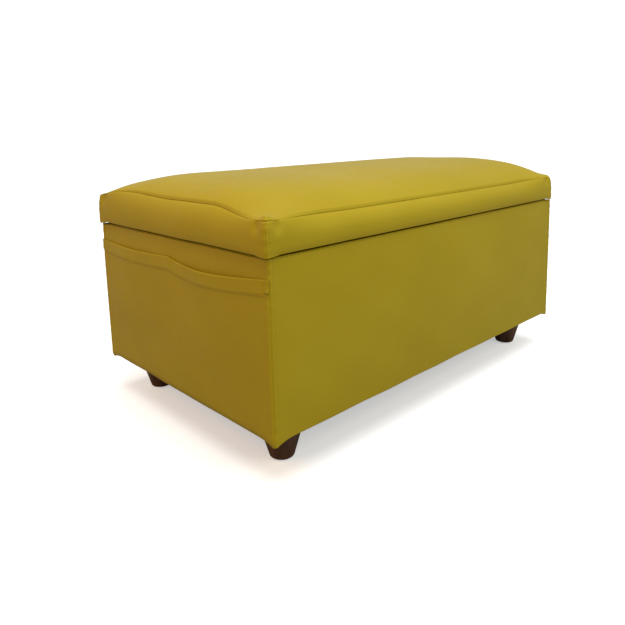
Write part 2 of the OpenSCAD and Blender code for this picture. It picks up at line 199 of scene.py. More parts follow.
def thread():
    """Sewing thread, twisted, close to the leatherette's colour."""
    m = Nodes("mustard_thread", Specular_IOR_Level=0.2, Specular_Tint=LEATHER_TINT)
    twist = m.noise(1800, 1.0, place=m.stretched((1, 1, 3)))
    colour = m.ramp(twist, [(0.3, (0.42, 0.32, 0.014)), (0.7, (0.56, 0.43, 0.024))])
    return m.finish(colour, m.spread(twist, 0.5, 0.7), m.bump(twist, 0.0001, 0.6))


def stained_wood():
    """Dark stained foot: grain along its length under a satin lacquer."""
    m = Nodes("stained_wood", Coat_Weight=0.35, Coat_Roughness=0.25)
    grain = m.noise(70, 5.0, 0.6, m.stretched((1, 1, 0.08)))
    pores = m.noise(420, 2.0, 0.5, m.stretched((1, 1, 0.05)))
    colour = m.ramp(grain, [(0.32, (0.050, 0.019, 0.009)), (0.55, (0.110, 0.043, 0.021)),
                            (0.75, (0.165, 0.068, 0.032))])
    return m.finish(colour, m.spread(grain, 0.30, 0.42), m.bump(pores, 0.0002, 0.4))


def bare_wood():
    """Pale board of the frame, with long grain and growth bands."""
    m = Nodes("bare_wood", Specular_IOR_Level=0.3)
    grain = m.noise(30, 5.0, 0.6, m.stretched((0.06, 1, 1)))
    colour = m.ramp(grain, [(0.3, (0.42, 0.27, 0.13)), (0.5, (0.60, 0.42, 0.23)),
                            (0.7, (0.70, 0.52, 0.31))])
    return m.finish(colour, m.spread(grain, 0.55, 0.7), m.bump(grain, 0.0003, 0.4))


def woven_cloth(name, dark, pale, pitch):
    """Plain-woven cloth whose threads cross along all three axes, at a given pitch."""
    m = Nodes(name, Specular_IOR_Level=0.2, Sheen_Weight=0.25)
    threads = []
    for axis in "XYZ":
        wave = m.add("ShaderNodeTexWave", {"Scale": 1 / (pitch * 2)}, bands_direction=axis)
        m.link(m.place, wave.inputs["Vector"])
        threads.append(wave.outputs["Fac"])
    height = threads[0]
    for other in threads[1:]:
        both = m.add("ShaderNodeMath", operation="ADD")
        m.link(height, both.inputs[0])
        m.link(other, both.inputs[1])
        height = both.outputs["Value"]
    colour = m.ramp(m.noise(90, 4.0, 0.7), [(0.3, dark), (0.7, pale)])
    return m.finish(colour, m.spread(m.noise(200), 0.75, 0.9), m.bump(height, 0.0002, 0.35))


def pressed_cloth(name, dark, pale):
    """Non-woven cloth: matted fibres with small bonded dimples."""
    m = Nodes(name, Specular_IOR_Level=0.25)
    dimples = m.bump(m.cells(420, "F1"), 0.0002, 0.4)
    fibres = m.bump(m.noise(700, 4.0, 0.7), 0.0001, 0.5, dimples)
    colour = m.ramp(m.noise(260, 4.0, 0.7), [(0.3, dark), (0.7, pale)])
    return m.finish(colour, m.spread(m.noise(150), 0.8, 0.92), fibres)


def zinc_steel(name, tone):
    """Zinc-plated steel with a faint spangle and fine rolling marks."""
    m = Nodes(name, Metallic=1.0)
    spangle = m.noise(160, 3.0)
    marks = m.noise(900, 2.0, 0.5, m.stretched((0.05, 1, 1)))
    colour = m.ramp(spangle, [(0.3, tuple(0.8 * c for c in tone)), (0.7, tone)])
    return m.finish(colour, m.spread(spangle, 0.28, 0.42), m.bump(marks, 0.00005, 0.4))


def foam():
    """Open-cell foam, its colour darker in the pits of its cells: painted shade."""
    m = Nodes("foam", Specular_IOR_Level=0.1)
    cells = m.cells(500, "F1")
    # Darker towards each cell's middle, where the bump sinks a pit: painted shade in the pits.
    colour = m.ramp(cells, [(0.0, (0.62, 0.56, 0.38)), (0.8, (0.80, 0.75, 0.56))])
    return m.finish(colour, m.spread(cells, 0.85, 0.95), m.bump(cells, 0.0004, 0.6))


def moulded_plastic():
    """Black nail-on glide, scuffed underneath."""
    m = Nodes("moulded_plastic")
    scuffs = m.noise(300, 4.0, 0.7)
    colour = m.ramp(scuffs, [(0.35, (0.012, 0.012, 0.012)), (0.75, (0.035, 0.035, 0.035))])
    return m.finish(colour, m.spread(scuffs, 0.4, 0.6), m.bump(scuffs, 0.0001, 0.4))


SLOT_MATERIALS = {
    "leatherette": leatherette(),
    "foam": foam(),
    "foot_wood": stained_wood(),
    "frame_wood": bare_wood(),
    "glide_plastic": moulded_plastic(),
    "lining_cloth": woven_cloth("charcoal_lining", (0.018, 0.017, 0.016), (0.040, 0.038, 0.036), 0.9 * MM),
    "underside_cloth": pressed_cloth("black_nonwoven", (0.008, 0.008, 0.009), (0.022, 0.022, 0.024)),
    "fastener_steel": zinc_steel("zinc_fastener", (0.66, 0.64, 0.58)),
    "hardware_steel": zinc_steel("zinc_hardware", (0.62, 0.62, 0.64)),
}
THREAD = thread()


def dress_cad_nodes():
    """Every CAD node gets the material of its slot."""
    for part in frame["record"]["subparts"]:
        mesh = frame["nodes"][part["node"]].data
        mesh.materials.clear()
        mesh.materials.append(SLOT_MATERIALS[part["material_slot"]])


# --- Mesh helpers ---------------------------------------------------------

def new_piece(name, points, faces, body, slot, material=None):
    """A smooth-shaded mesh object that rides on a CAD body, in its slot's material unless one is given."""
    mesh = bpy.data.meshes.new(name)
    mesh.from_pydata([tuple(p) for p in points], [], [tuple(int(i) for i in f) for f in faces])
    mesh.materials.append(material or SLOT_MATERIALS[slot])
    mesh.polygons.foreach_set("use_smooth", [True] * len(mesh.polygons))
    mesh.update()
    piece = bpy.data.objects.new(name, mesh)
    scene.collection.objects.link(piece)
    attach(piece, body)
    return piece


def grid_faces(rows, columns, close_columns=False):
    """Quads over a grid of points stored row by row."""
    index = np.arange(rows * columns).reshape(rows, columns)
    if close_columns:
        index = np.hstack([index, index[:, :1]])
    a, b, c, d = index[:-1, :-1], index[:-1, 1:], index[1:, 1:], index[1:, :-1]
    return np.stack([a, b, c, d], axis=-1).reshape(-1, 4)


def grid_piece(name, points, body, slot, thickness=0.0, close=False):
    """A sheet through a grid of points, given as rows x columns x 3, with its front to +normal."""
    rows, columns = points.shape[:2]
    piece = new_piece(name, points.reshape(-1, 3), grid_faces(rows, columns, close), body, slot)
    if thickness:
        solid = piece.modifiers.new("thickness", "SOLIDIFY")
        solid.thickness = thickness
        solid.offset = -1
    return piece


def steps_from_edge(reach, fine, run, coarse, growth=0.14):
    """Distances from an edge, close together over a first run and wider apart further in."""
    at = [0.0]
    while at[-1] < reach:
        beyond = max(0.0, at[-1] - run)
        at.append(at[-1] + min(coarse, fine + growth * beyond))
    return np.array(at[:-1])


def both_ways(half, fine=0.6 * MM, run=13 * MM, coarse=7 * MM):
    """Places from -half to half, closest together at both ends."""
    inward = steps_from_edge(half - coarse / 2, fine, run, coarse)
    return np.concatenate([inward - half, [0.0], (half - inward)[::-1]])


def hump(x, middle, width):
    """A bell of height 1."""
    return np.exp(-((x - middle) / width) ** 2)


def smooth_step(x):
    """A smooth rise from 0 to 1 as x goes from 0 to 1."""
    x = np.clip(x, 0, 1)
    return x * x * (3 - 2 * x)


def ripples(a, b, seed, waves=7, longest=0.30, shortest=0.09):
    """A smooth uneven surface of unit size over the plane (a, b), the same each run."""
    rng = np.random.default_rng(seed)
    total = np.zeros(np.broadcast(a, b).shape)
    for length in np.geomspace(longest, shortest, waves):
        angle, phase = rng.uniform(0, math.tau, 2)
        total = total + np.sin(math.tau * (a * math.cos(angle) + b * math.sin(angle)) / length + phase)
    return total / math.sqrt(waves)


# --- A padded box with sewn corner edges ----------------------------------

SAG_START = 1.5 * MM          # where a sag starts to fade, in from the face
SAG_FADE = 5.5 * MM           # the run over which it fades


class SoftBox:
    """A box with rounded edges. A point on it is (side, s along the side, d in from the side's face, z).

    s runs to the right as seen from outside. swell(side, s, z, edge) is the outward push of the
    cover, where edge is the distance from the nearest corner seam, and sag(side, s, z, edge)
    lowers it. The swell fades out over the first stretch of the rim and of the underside, and so
    does the sag, where the cover lies between the board and the stapled cloth.
    """

    def __init__(self, half_length, half_depth, middle, low, high, radius, edge_radius, fade, swell, sag):
        self.half = {"front": (half_length, half_depth), "back": (half_length, half_depth),
                     "left": (half_depth, half_length), "right": (half_depth, half_length)}
        self.middle = np.array([*middle, 0])
        self.round = np.array([radius, radius, edge_radius])
        self.inner_low = np.array([-half_length, -half_depth, low]) + self.round
        self.inner_high = np.array([half_length, half_depth, high]) - self.round
        self.fade = fade
        self.swell = swell
        self.sag = sag

    def at(self, side, s, d, z, lift=0.0):
        """Points on the cover, pushed out by lift."""
        along, out = self.half[side]
        s, d, z, lift = np.broadcast_arrays(s, d, z, lift)
        n = out - d
        x, y = {"front": (s, -n), "back": (-s, n), "right": (n, s), "left": (-n, -s)}[side]
        sharp = np.stack([x, y, z], axis=-1)
        core = np.clip(sharp, self.inner_low, self.inner_high)
        away = (sharp - core) / self.round
        normal = away / np.maximum(np.linalg.norm(away, axis=-1, keepdims=True), 1e-9)
        edge = along - np.abs(s)
        push = self.swell(side, s, z, edge) * smooth_step(1 - d / self.fade) + lift
        point = core + normal * (self.round + push[..., None])
        inside = smooth_step((d - SAG_START) / SAG_FADE)
        under = np.where(z < self.inner_low[2], CLOTH, 0)
        point[..., 2] += under * inside - self.sag(side, s, z, edge) * (1 - inside)
        return point + self.middle

    def row(self, side, s, z, lift):
        """A row of points on the wall with their outward normals."""
        points = self.at(side, s, 0, z, lift)
        return points, (self.at(side, s, 0, z, lift + MM) - points) / MM


def sweep_side(box, side, d, z):
    """A grid over one side. d and z are the profile, and its rows end on the 45 degree mitre."""
    along = box.half[side][0]
    s = both_ways(along)[None, ::-1]
    d = d[:, None]
    return box.at(side, s * (along - d) / along, d, z if z.ndim == 2 else z[:, None])


SEAM_WIDTH = 0.8 * MM         # of a corner seam's groove
RIDGE_RISE = 1.0 * MM         # of the cover over the turned allowance beside it
STITCH_DENT = 0.45 * MM       # depth to which a row of stitches draws the cover in
DENT_WIDTH = 1.3 * MM
PUCKER = 0.35 * MM            # height of the puckers along a corner seam or a stapled edge
PUCKER_REACH = 9 * MM
STITCH_LENGTH = 3.8 * MM
STITCH_RADIUS = 0.45 * MM
STITCH_PITCH = 5 * MM
THREAD_LIFT = 0.1 * MM        # how far the corner stitches lie on the cover


def corner_seam(edge, z, stitch_at, depth):
    """A sewn corner: the seam's groove, the ridge of its turned allowance and the stitches' dents."""
    groove = -depth * hump(edge, 0, SEAM_WIDTH)
    ridge = RIDGE_RISE * smooth_step(1.2 - edge / (stitch_at * 1.3))
    dents = -STITCH_DENT * hump(edge, stitch_at, DENT_WIDTH)
    pucker = PUCKER * np.sin(math.tau * z / (17 * MM) + 2 * np.sin(z / (31 * MM)))
    return groove + ridge + dents + pucker * np.exp(-edge / PUCKER_REACH)


def stitch_mesh(name, rows, body):
    """Sewing stitches as short plump threads along rows of (points, normals), one at each point."""
    ring = np.linspace(0, math.tau, 7)[:-1]
    # Each ring of a stitch: its place along the stitch, its girth and its rise
    rings = [(-1.0, 0.0, -0.6), (-0.72, 1.0, 0.0), (0.0, 1.15, 0.25), (0.72, 1.0, 0.0), (1.0, 0.0, -0.6)]
    points, faces = [], []
    tube = grid_faces(len(rings), len(ring), close_columns=True)
    for path, normals in rows:
        normals = normals / np.linalg.norm(normals, axis=1, keepdims=True)
        tangents = np.gradient(path, axis=0)
        tangents /= np.linalg.norm(tangents, axis=1, keepdims=True)
        across = np.cross(normals, tangents)
        for at, t, n, a in zip(path, tangents, normals, across):
            faces.append(tube + len(points))
            for along, girth, rise in rings:
                centre = at + t * along * STITCH_LENGTH / 2 + n * rise * STITCH_RADIUS
                for angle in ring:
                    spoke = a * math.cos(angle) + n * math.sin(angle)
                    points.append(centre + spoke * girth * STITCH_RADIUS)
    return new_piece(name, points, np.concatenate(faces), body, "leatherette", THREAD)


def pitched(low, high):
    """The stitches' places from low to high."""
    return np.linspace(low, high, max(2, round((high - low) / STITCH_PITCH) + 1))


def corner_stitches(name, box, z, stitch_at, body, lifts=None):
    """Two rows of top stitches at each corner of a box. lifts says what else they are sewn through."""
    rows = []
    for side in SIDES:
        for end in (-1, 1):
            s = np.full(len(z), end * (box.half[side][0] - stitch_at))
            rows.append(box.row(side, s, z, (lifts or {}).get(side, THREAD_LIFT)))
    stitch_mesh(name, rows, body)


# --- Body upholstery ------------------------------------------------------

WALL_HEIGHT = RIM_Z - BODY_Z
BODY_CORNER = 7 * MM          # rounding of the upright corners
BODY_EDGE = 2 * MM            # rounding of the rim's and the bottom's outer edges
BODY_FADE = 6 * MM
CORNER_STITCH = 9 * MM        # distance of the two top-stitch rows from a corner seam
BODY_SEAM = 0.2 * MM          # depth of the corner seams
BELLY = 4.5 * MM              # how far a wall's cover stands out in its middle
SHOULDER_TUCK = 2.2 * MM      # how far it lies back at the rim
SHOULDER_START = 0.72         # share of the height at which it starts to lie back
BODY_UNEVEN = 0.6 * MM
BOTTOM_SAG = 6.5 * MM         # how far the folded lower corners hang
ROLL = 3 * MM                 # rounding of the rim's inner edge
FLAP_MARGIN = 1.6 * MM        # how far the flap's face stands in from the wall boards
COVER_RIM = HALF_LENGTH - CAVITY_X + FLAP_MARGIN - ROLL
UNDER_TURN = 30 * MM          # what is turned in and stapled underneath
PAD_MARGIN = 3 * MM           # distance of the wall foam's ends from the corners
PAD_DEPTH = 1.5 * MM          # how far it lies behind the face of the cover
PAD_THICKNESS = 3.4 * MM
CAP_EASE = 0.5 * MM           # how far a post cap's edges lie below its middle
SIDE_SEED = {side: 11 + i for i, side in enumerate(SIDES)}


def body_swell(side, s, z, edge):
    """How far the body's cover stands out from the box."""
    height = np.clip((z - BODY_Z) / WALL_HEIGHT, 0, 1)
    half = HALF_LENGTH if side in ("front", "back") else HALF_DEPTH
    belly = BELLY * np.sin(math.pi * height) * (1 - (s / half) ** 4)
    tuck = SHOULDER_TUCK * np.clip((height - SHOULDER_START) / (1 - SHOULDER_START), 0, 1) ** 2
    away = smooth_step(edge / (12 * MM))
    uneven = BODY_UNEVEN * ripples(s, z, SIDE_SEED[side]) * (1 - hump(edge, 0, 25 * MM))
    return belly - tuck * away + uneven + corner_seam(edge, z, CORNER_STITCH, BODY_SEAM)


def body_sag(side, s, z, edge):
    """The folded lower corners hang a little."""
    low = smooth_step(1 - (z - BODY_Z) / (45 * MM))
    return BOTTOM_SAG * low * hump(edge, 0, 20 * MM)


BODY = SoftBox(HALF_LENGTH, HALF_DEPTH, (0, 0), BODY_Z, RIM_Z, BODY_CORNER, BODY_EDGE, BODY_FADE,
               body_swell, body_sag)


def body_profile():
    """From the inside of the rim, over it, down the wall and in under the bottom board."""
    over = steps_from_edge(COVER_RIM, 1 * MM, 9 * MM, 3 * MM)[::-1]
    down = (RIM_Z + BODY_Z) / 2 - both_ways(WALL_HEIGHT / 2, 1 * MM, 12 * MM, 6 * MM)
    under = steps_from_edge(UNDER_TURN, 1 * MM, 9 * MM, 4 * MM)[1:]
    d = np.concatenate([[COVER_RIM], over[:-1], np.zeros(len(down)), under])
    z = np.concatenate([np.full(len(over), RIM_Z), down, np.full(len(under), BODY_Z)])
    return d, z


def make_body_covers():
    """One cover on each side, from the inside of the rim to the staples underneath."""
    for side in SIDES:
        points = sweep_side(BODY, side, *body_profile())
        cover = grid_piece(f"body_cover_{side}", points, "base", "leatherette", SKIN)
        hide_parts(f"cover_{side}")


def make_body_foam():
    """The thin foam under each cover."""
    for side in SIDES:
        along = BODY.half[side][0] - PAD_MARGIN
        s = both_ways(along, 2 * MM, 12 * MM, 20 * MM)[None, ::-1]
        z = np.linspace(RIM_Z - SKIN, BODY_Z + SKIN, 24)[:, None]
        points = BODY.at(side, s, 0, z, -PAD_DEPTH)
        pad = grid_piece(f"wall_foam_{side}", points, "base", "foam", PAD_THICKNESS)
        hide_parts(f"foam_{side}")


def notched_outline(margin, corner=3.2 * MM, step=18 * MM):
    """The storage space in plan, less a margin: points anticlockwise, and normals out of the space."""
    x, y, px, py = CAVITY_X - margin, CAVITY_Y - margin, POST_X - margin, POST_Y - margin
    turn = [(x, py), (px, py), (px, y)]
    corners = turn + [(-a, b) for a, b in turn[::-1]]
    corners += [(-a, -b) for a, b in turn] + [(a, -b) for a, b in turn[::-1]]
    corners = np.array(corners)
    points, normals = [], []
    for i, here in enumerate(corners):
        ahead = corners[(i + 1) % len(corners)] - here
        back = corners[i - 1] - here
        u, v = back / np.linalg.norm(back), ahead / np.linalg.norm(ahead)
        centre = here + (u + v) * corner
        hollow = -np.sign(u[0] * v[1] - u[1] * v[0])
        for t in np.linspace(0, math.pi / 2, 6):
            spoke = -(v * math.cos(t) + u * math.sin(t))
            points.append(centre + spoke * corner)
            normals.append(spoke * hollow)
        run = np.linalg.norm(ahead) - 2 * corner
        for t in np.linspace(0, run, max(2, round(run / step)))[1:-1]:
            points.append(here + v * (corner + t))
            normals.append(np.array([v[1], -v[0]]))
    return np.array(points), np.array(normals)


def outline_strip(name, margin, out, z, slot, thickness=0.0, wave=0.0):
    """A closed strip round the storage space. out and z are its profile, from the top down."""
    points, normals = notched_outline(margin)
    length = np.cumsum(np.linalg.norm(points - np.roll(points, 1, axis=0), axis=1))
    out, z = out[:, None], z[:, None]
    offset = out + wave * ripples(length[None, :], z, 31, longest=0.4, shortest=0.1)
    plan = points[None] + normals[None] * offset[..., None]
    grid = np.concatenate([plan, np.broadcast_to(z[..., None], plan.shape[:2] + (1,))], axis=-1)
    return grid_piece(name, grid, "base", slot, thickness, close=True), length[-1]


def make_rim():
    """The flap turned down inside the rim, and the pieces that cap the corner posts."""
    curve = np.linspace(0, math.pi / 2, 6)
    fall = np.concatenate([RIM_Z - ROLL - np.linspace(0, RIM_Z - ROLL - FLAP_Z, 14)[1:], [FLAP_Z - MM]])
    out = np.concatenate([ROLL * (1 - np.sin(curve)), np.zeros(len(fall) - 1), [0.8 * MM]])
    z = np.concatenate([RIM_Z - ROLL * (1 - np.cos(curve)), fall])
    flap, girth = outline_strip("rim_flap", FLAP_MARGIN, out, z, "leatherette", SKIN)
    low_x, low_y = POST_X - FLAP_MARGIN + ROLL, POST_Y - FLAP_MARGIN + ROLL
    high_x, high_y = HALF_LENGTH - COVER_RIM, HALF_DEPTH - COVER_RIM
    side = high_x - low_x + MM
    a, b = np.meshgrid(np.linspace(-1, 1, 13), np.linspace(-1, 1, 13))
    x = (low_x + high_x) / 2 + a * side / 2
    y = (low_y + high_y) / 2 + b * (high_y - low_y + MM) / 2
    z = RIM_Z - CAP_EASE * (a ** 4 + b ** 4)
    corners = {"back_right": (1, 1), "back_left": (-1, 1), "front_left": (-1, -1), "front_right": (1, -1)}
    for name, (sx, sy) in corners.items():
        grid = np.stack([sx * x, sy * y, z], axis=-1)
        cap = grid_piece(f"post_cap_{name}", grid[:, ::sx * sy], "base", "leatherette", SKIN)


POCKET_MARGIN = 1 * MM        # distance of the pocket's ends from the corners
POCKET_SKIN = 1.1 * MM
HEM = 24 * MM                 # depth of the hem folded inside the mouth
HEM_FOLD = 1.3 * MM           # rounding of the fold along the mouth
HEM_RISE = 1.9 * MM           # how far the hem stands proud
HEM_STITCH = 1.5 * MM         # distance of its stitches from its lower edge
HEM_DENT = 0.9 * MM           # how deep they draw it in
FAR_DROOP = 4.5 * MM          # how far the mouth sags in its far and its near swag
NEAR_DROOP = 10.5 * MM
NEAR_LIFT = 3.5 * MM          # how much higher its near end is sewn in
FAR_BOW = 3 * MM              # how far it stands out in its far and its near swag
NEAR_BOW = 6.5 * MM
TACK_BOW = 1.5 * MM           # and at the tack between them
SLACK_DEPTH = 190 * MM        # how far below the mouth the panel lies flat
POCKET_HELD = 0.15 * MM       # how far the panel stands off the cover in the corner seams
POCKET_LIFT = 1.25 * MM       # and how much more everywhere else
POCKET_THREAD_LIFT = 1.3 * MM # of the corner stitches where they go through the pocket


def pocket_mouth(t):
    """How far the mouth droops and how far it stands out, t going from its far end to its near end."""
    far = np.clip(2 * t, 0, 1)
    near = np.clip(2 * t - 1, 0, 1)
    far_swag = np.sin(math.pi * far)
    near_swag = np.sin(math.pi * near)
    droop = FAR_DROOP * far_swag + NEAR_DROOP * np.sin(math.pi * near ** 0.75) - NEAR_LIFT * near
    bow = FAR_BOW * far_swag ** 1.5 + NEAR_BOW * near_swag ** 1.5 + TACK_BOW * hump(t, 0.5, 0.03)
    return droop, bow


def make_pocket():
    """The end pocket: a panel sewn into both corners, with a folded hem that hangs slack.

    A tack holds the mouth at its middle, so it sags in two swags, the nearer one deeper.
    """
    half = BODY.half["left"][0] - POCKET_MARGIN
    s = both_ways(half, 1 * MM, 10 * MM, 6 * MM)[None, ::-1]
    droop, bow = pocket_mouth((s / half + 1) / 2)
    mouth = MOUTH_Z - droop
    sewn = smooth_step((half - 4 * MM - np.abs(s)) / (10 * MM))
    held = POCKET_HELD + POCKET_LIFT * smooth_step((half - np.abs(s)) / (5 * MM))

    def lift(depth):
        """How far the panel stands off the cover at a depth below the mouth."""
        slack = bow * np.clip(1 - depth / SLACK_DEPTH, 0, 1) ** 2.2
        hemmed = HEM_RISE * smooth_step((HEM + MM - depth) / (2.5 * MM))
        dent = -HEM_DENT * hump(depth, HEM - HEM_STITCH, 1.2 * MM)
        return held + sewn * (slack + hemmed + dent)

    # The inside of the hem, the fold, the stretch round the hem, and the rest of the wall
    inside = np.linspace(20 * MM, 0, 8)[:-1, None]
    turn = np.linspace(math.pi, 0, 9)[:-1, None]
    depths = np.concatenate([np.linspace(0, HEM + 6 * MM, 26), HEM + np.array([10, 16, 24]) * MM])[:, None]
    fraction = np.linspace(0, 1, 34)[1:, None]
    last = mouth - depths[-1]
    rest = last + (BODY_Z - last) * fraction
    z = [mouth - inside, mouth + HEM_FOLD * np.sin(turn), mouth - depths, rest]
    outward = [lift(inside) - 2 * HEM_FOLD * sewn, lift(0) - HEM_FOLD * (1 - np.cos(turn)) * sewn,
               lift(depths), lift(mouth - rest)]
    z, outward = (np.concatenate([np.broadcast_to(part, (part.shape[0], s.shape[1])) for part in parts])
                  for parts in (z, outward))
    wall = BODY.at("left", s, 0, z, outward)
    under_d = steps_from_edge(UNDER_TURN - 4 * MM, 1 * MM, 9 * MM, 4 * MM)[1:, None]
    under = BODY.at("left", s * (1 - under_d / half), under_d, BODY_Z, held)
    points = np.concatenate([wall, under])
    pocket = grid_piece("pocket", points, "base", "leatherette", POCKET_SKIN)
    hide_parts("side_pocket")
    s_row = pitched(-half + 12 * MM, half - 12 * MM)
    at = np.argsort(s[0])
    z_row = np.interp(s_row, s[0][at], mouth[0][at]) - HEM + HEM_STITCH
    lift_row = np.interp(s_row, s[0][at], lift(HEM - HEM_STITCH)[0][at])
    stitch_mesh("pocket_stitches", [BODY.row("left", s_row, z_row, lift_row)], "base")


def make_body_stitches():
    """The top stitches at the body's corners, over the pocket where it covers them."""
    z = pitched(BODY_Z + 8 * MM, RIM_Z - 6 * MM)
    over_pocket = np.where(z < MOUTH_Z, POCKET_THREAD_LIFT, THREAD_LIFT)
    corner_stitches("body_corner_stitches", BODY, z, CORNER_STITCH, "base", {"left": over_pocket})


# --- Linings and underside ------------------------------------------------

LINING_MARGIN = 1 * MM        # how far the lining stands in from the boards
LINING_WAVE = 0.35 * MM
FLOOR_MARGIN = 2 * MM         # the same for the cloth on the floor panel
FLOOR_WAVE = 0.2 * MM
TURNED_EDGE = 0.5 * MM        # how far the doubled edge of a stapled cloth stands down
TURN_WIDTH = 12 * MM
STAPLE_PITCH = 50 * MM        # of its puckers, between one staple and the next
CLOTH_RISE = 0.3 * MM         # how far it lies above the underside of its CAD sheet


def make_lining():
    """The cloth on the walls of the storage space, from under the flap to below the floor cloth."""
    z = np.linspace(FLAP_Z + 5 * MM, FLOOR_Z - 2 * MM, 26)
    out = np.zeros(len(z))
    walls, girth = outline_strip("storage_lining", LINING_MARGIN, out, z, "lining_cloth", wave=LINING_WAVE)
    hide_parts("lining_walls")


def plan_lines(half, marks, step):
    """Grid lines from -half to half that include +-marks."""
    stops = sorted({-half, half, *marks, *(-m for m in marks)})
    parts = [np.linspace(a, b, max(2, round((b - a) / step) + 1))[:-1] for a, b in zip(stops, stops[1:])]
    return np.concatenate([*parts, [half]])


def make_storage_floor():
    """The cloth on the loose floor panel, notched round the posts."""
    half_x, half_y = CAVITY_X - FLOOR_MARGIN, CAVITY_Y - FLOOR_MARGIN
    post_x, post_y = POST_X - FLOOR_MARGIN, POST_Y - FLOOR_MARGIN
    x = plan_lines(half_x, [post_x], 18 * MM)
    y = plan_lines(half_y, [post_y], 18 * MM)
    gx, gy = np.meshgrid(x, y)
    z = FLOOR_Z + FLOOR_WAVE * ripples(gx, gy, 41)
    points = np.stack([gx, gy, z], axis=-1).reshape(-1, 3)
    faces = grid_faces(len(y), len(x))
    centre = np.abs(points[faces].mean(axis=1))
    kept = (centre[:, 0] < post_x) | (centre[:, 1] < post_y)
    cloth = new_piece("storage_floor_cloth", points, faces[kept], "base", "lining_cloth")
    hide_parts("lining_floor")


def flat_cloth(name, node, body, seed, wave):
    """A stapled cloth seen from below, with a turned edge, in place of a thin CAD sheet."""
    low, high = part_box(node)
    middle, half = (low + high) / 2, (high - low) / 2
    x = both_ways(half.x, 1 * MM, 8 * MM, 16 * MM)[::-1]
    y = both_ways(half.y, 1 * MM, 8 * MM, 16 * MM)
    gx, gy = np.meshgrid(x, y)
    edge = np.minimum(half.x - np.abs(gx), half.y - np.abs(gy))
    turned = TURNED_EDGE * smooth_step((TURN_WIDTH - edge) / (2 * MM))
    puckers = PUCKER * np.sin(math.tau * (gx + gy) / STAPLE_PITCH) * np.exp(-edge / (16 * MM))
    slack = wave * ripples(gx, gy, seed, longest=0.5, shortest=0.14) * smooth_step(edge / (60 * MM))
    z = low.z + CLOTH_RISE - turned + puckers * smooth_step(edge / (6 * MM)) + slack
    points = np.stack([gx + middle.x, gy + middle.y, z], axis=-1)
    cloth = grid_piece(name, points, body, "underside_cloth")
    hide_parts(node)


# --- Feet -----------------------------------------------------------------

FOOT_BASE_R = 22 * MM         # at the floor, before the edge is eased
FOOT_EASE = 3.5 * MM
FOOT_FLARE = 1 * MM           # how far the top stands out past the CAD foot
FOOT_CENTRE = 0.001 * MM      # radius at which the underside all but closes


def make_foot(name):
    """A turned foot: a straight taper with both edges eased."""
    low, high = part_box(name)
    top_r = (high.x - low.x) / 2 + FOOT_FLARE
    slope = math.atan2(top_r - FOOT_BASE_R, high.z - low.z)
    under_r = np.linspace(2 * MM, FOOT_BASE_R - FOOT_EASE, 5)[:-1]
    curve = np.linspace(-math.pi / 2, -slope, 8)
    ease_r = FOOT_BASE_R - FOOT_EASE + FOOT_EASE * np.cos(curve)
    ease_z = low.z + FOOT_EASE + FOOT_EASE * np.sin(curve)
    taper = np.linspace(0, 1, 14)[1:]
    taper_r = ease_r[-1] + (top_r - 0.8 * MM - ease_r[-1]) * taper
    taper_z = ease_z[-1] + (high.z - 1 * MM - ease_z[-1]) * taper
    r = np.concatenate([[FOOT_CENTRE], under_r, ease_r, taper_r, [top_r - 1.2 * MM, top_r - 6 * MM]])
    z = np.concatenate([[low.z] * 5, ease_z, taper_z, [high.z - 0.2 * MM] * 2])
    angle = np.linspace(0, math.tau, 73)[:-1]
    centre = (low + high) / 2
    points = np.stack([centre.x + r[:, None] * np.cos(angle), centre.y + r[:, None] * np.sin(angle),
                       np.broadcast_to(z[:, None], (len(z), len(angle)))], axis=-1)
    foot = grid_piece(f"turned_{name}", points, "base", "foot_wood", close=True)
    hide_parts(name)


# --- Lid ------------------------------------------------------------------

LID_MIDDLE = (-3 * MM, LID_MIDDLE_Y)     # the lid's covers sit a little towards the pocket's end
LID_CORNER = 9 * MM           # rounding of the upright corners
LID_EDGE = 1.5 * MM           # rounding of the lower edges
LID_FADE = 12 * MM
LID_TOP = SEAM_Z + 0.1        # far above the band, so that its upper edge isn't rounded
LID_STITCH = 8 * MM           # distance of the two top-stitch rows from a corner seam
LID_SEAM = 0.5 * MM           # depth of the corner seams
BAND_HEIGHT = SEAM_Z - LID_Z
BAND_UNEVEN = 0.5 * MM
ROLL_START = 0.25             # share of the band's height at which it starts to roll in
ROLL_ARC = 0.9                # how much of a quarter circle's run the roll takes
CORNER_INSET = 4.5 * MM       # how far in the top seam lies at the corners
SIDE_INSET = 14 * MM          # and how much further along the sides
INSET_RUN = 150 * MM
DIMPLE = 3 * MM               # depth of the hollow beside each corner, just below the seam
DIMPLE_AT = 26 * MM
CREST_Z = CROWN_Z - 7.4 * MM  # the crown before its cover is pressed out
SHOULDER_LEFT = 204 * MM      # how far in the crown's shoulders reach
SHOULDER_RIGHT = 87 * MM
SHOULDER_FRONT = 280 * MM
SHOULDER_BACK = 272 * MM
END_ROUNDNESS = 4.1           # how early a shoulder does most of its rise
SIDE_ROUNDNESS = 3.7
LEFT_BOW = 16.5 * MM          # rise of the seam along the ends
RIGHT_BOW = 5 * MM
FRONT_DIP = 4 * MM            # and its fall along the front
FAR_LIFT = 5.5 * MM           # the back left corner's seam stands higher
LIP_FRONT_LEFT = 7 * MM       # how far the top stands up in a lip at its corners
LIP_BACK_LEFT = 1 * MM
LIP_RIGHT = 3.6 * MM
LIP_RUN = 12 * MM
LIP_REACH = 21 * MM
TOP_UNEVEN = 1 * MM
SEAM_GROOVE = 0.7 * MM        # depth of the top seam
GROOVE_WIDTH = 1.1 * MM
CREASE_AT = 6 * MM            # distance of the top stitching's crease from the seam
CREASE_WIDTH = 1.6 * MM
CREASE_END = 0.5 * MM         # its depth along the ends and along the sides
CREASE_SIDE = 0.15 * MM
CREASE_CORNER = 0.8 * MM      # and how much deeper it is at the corners
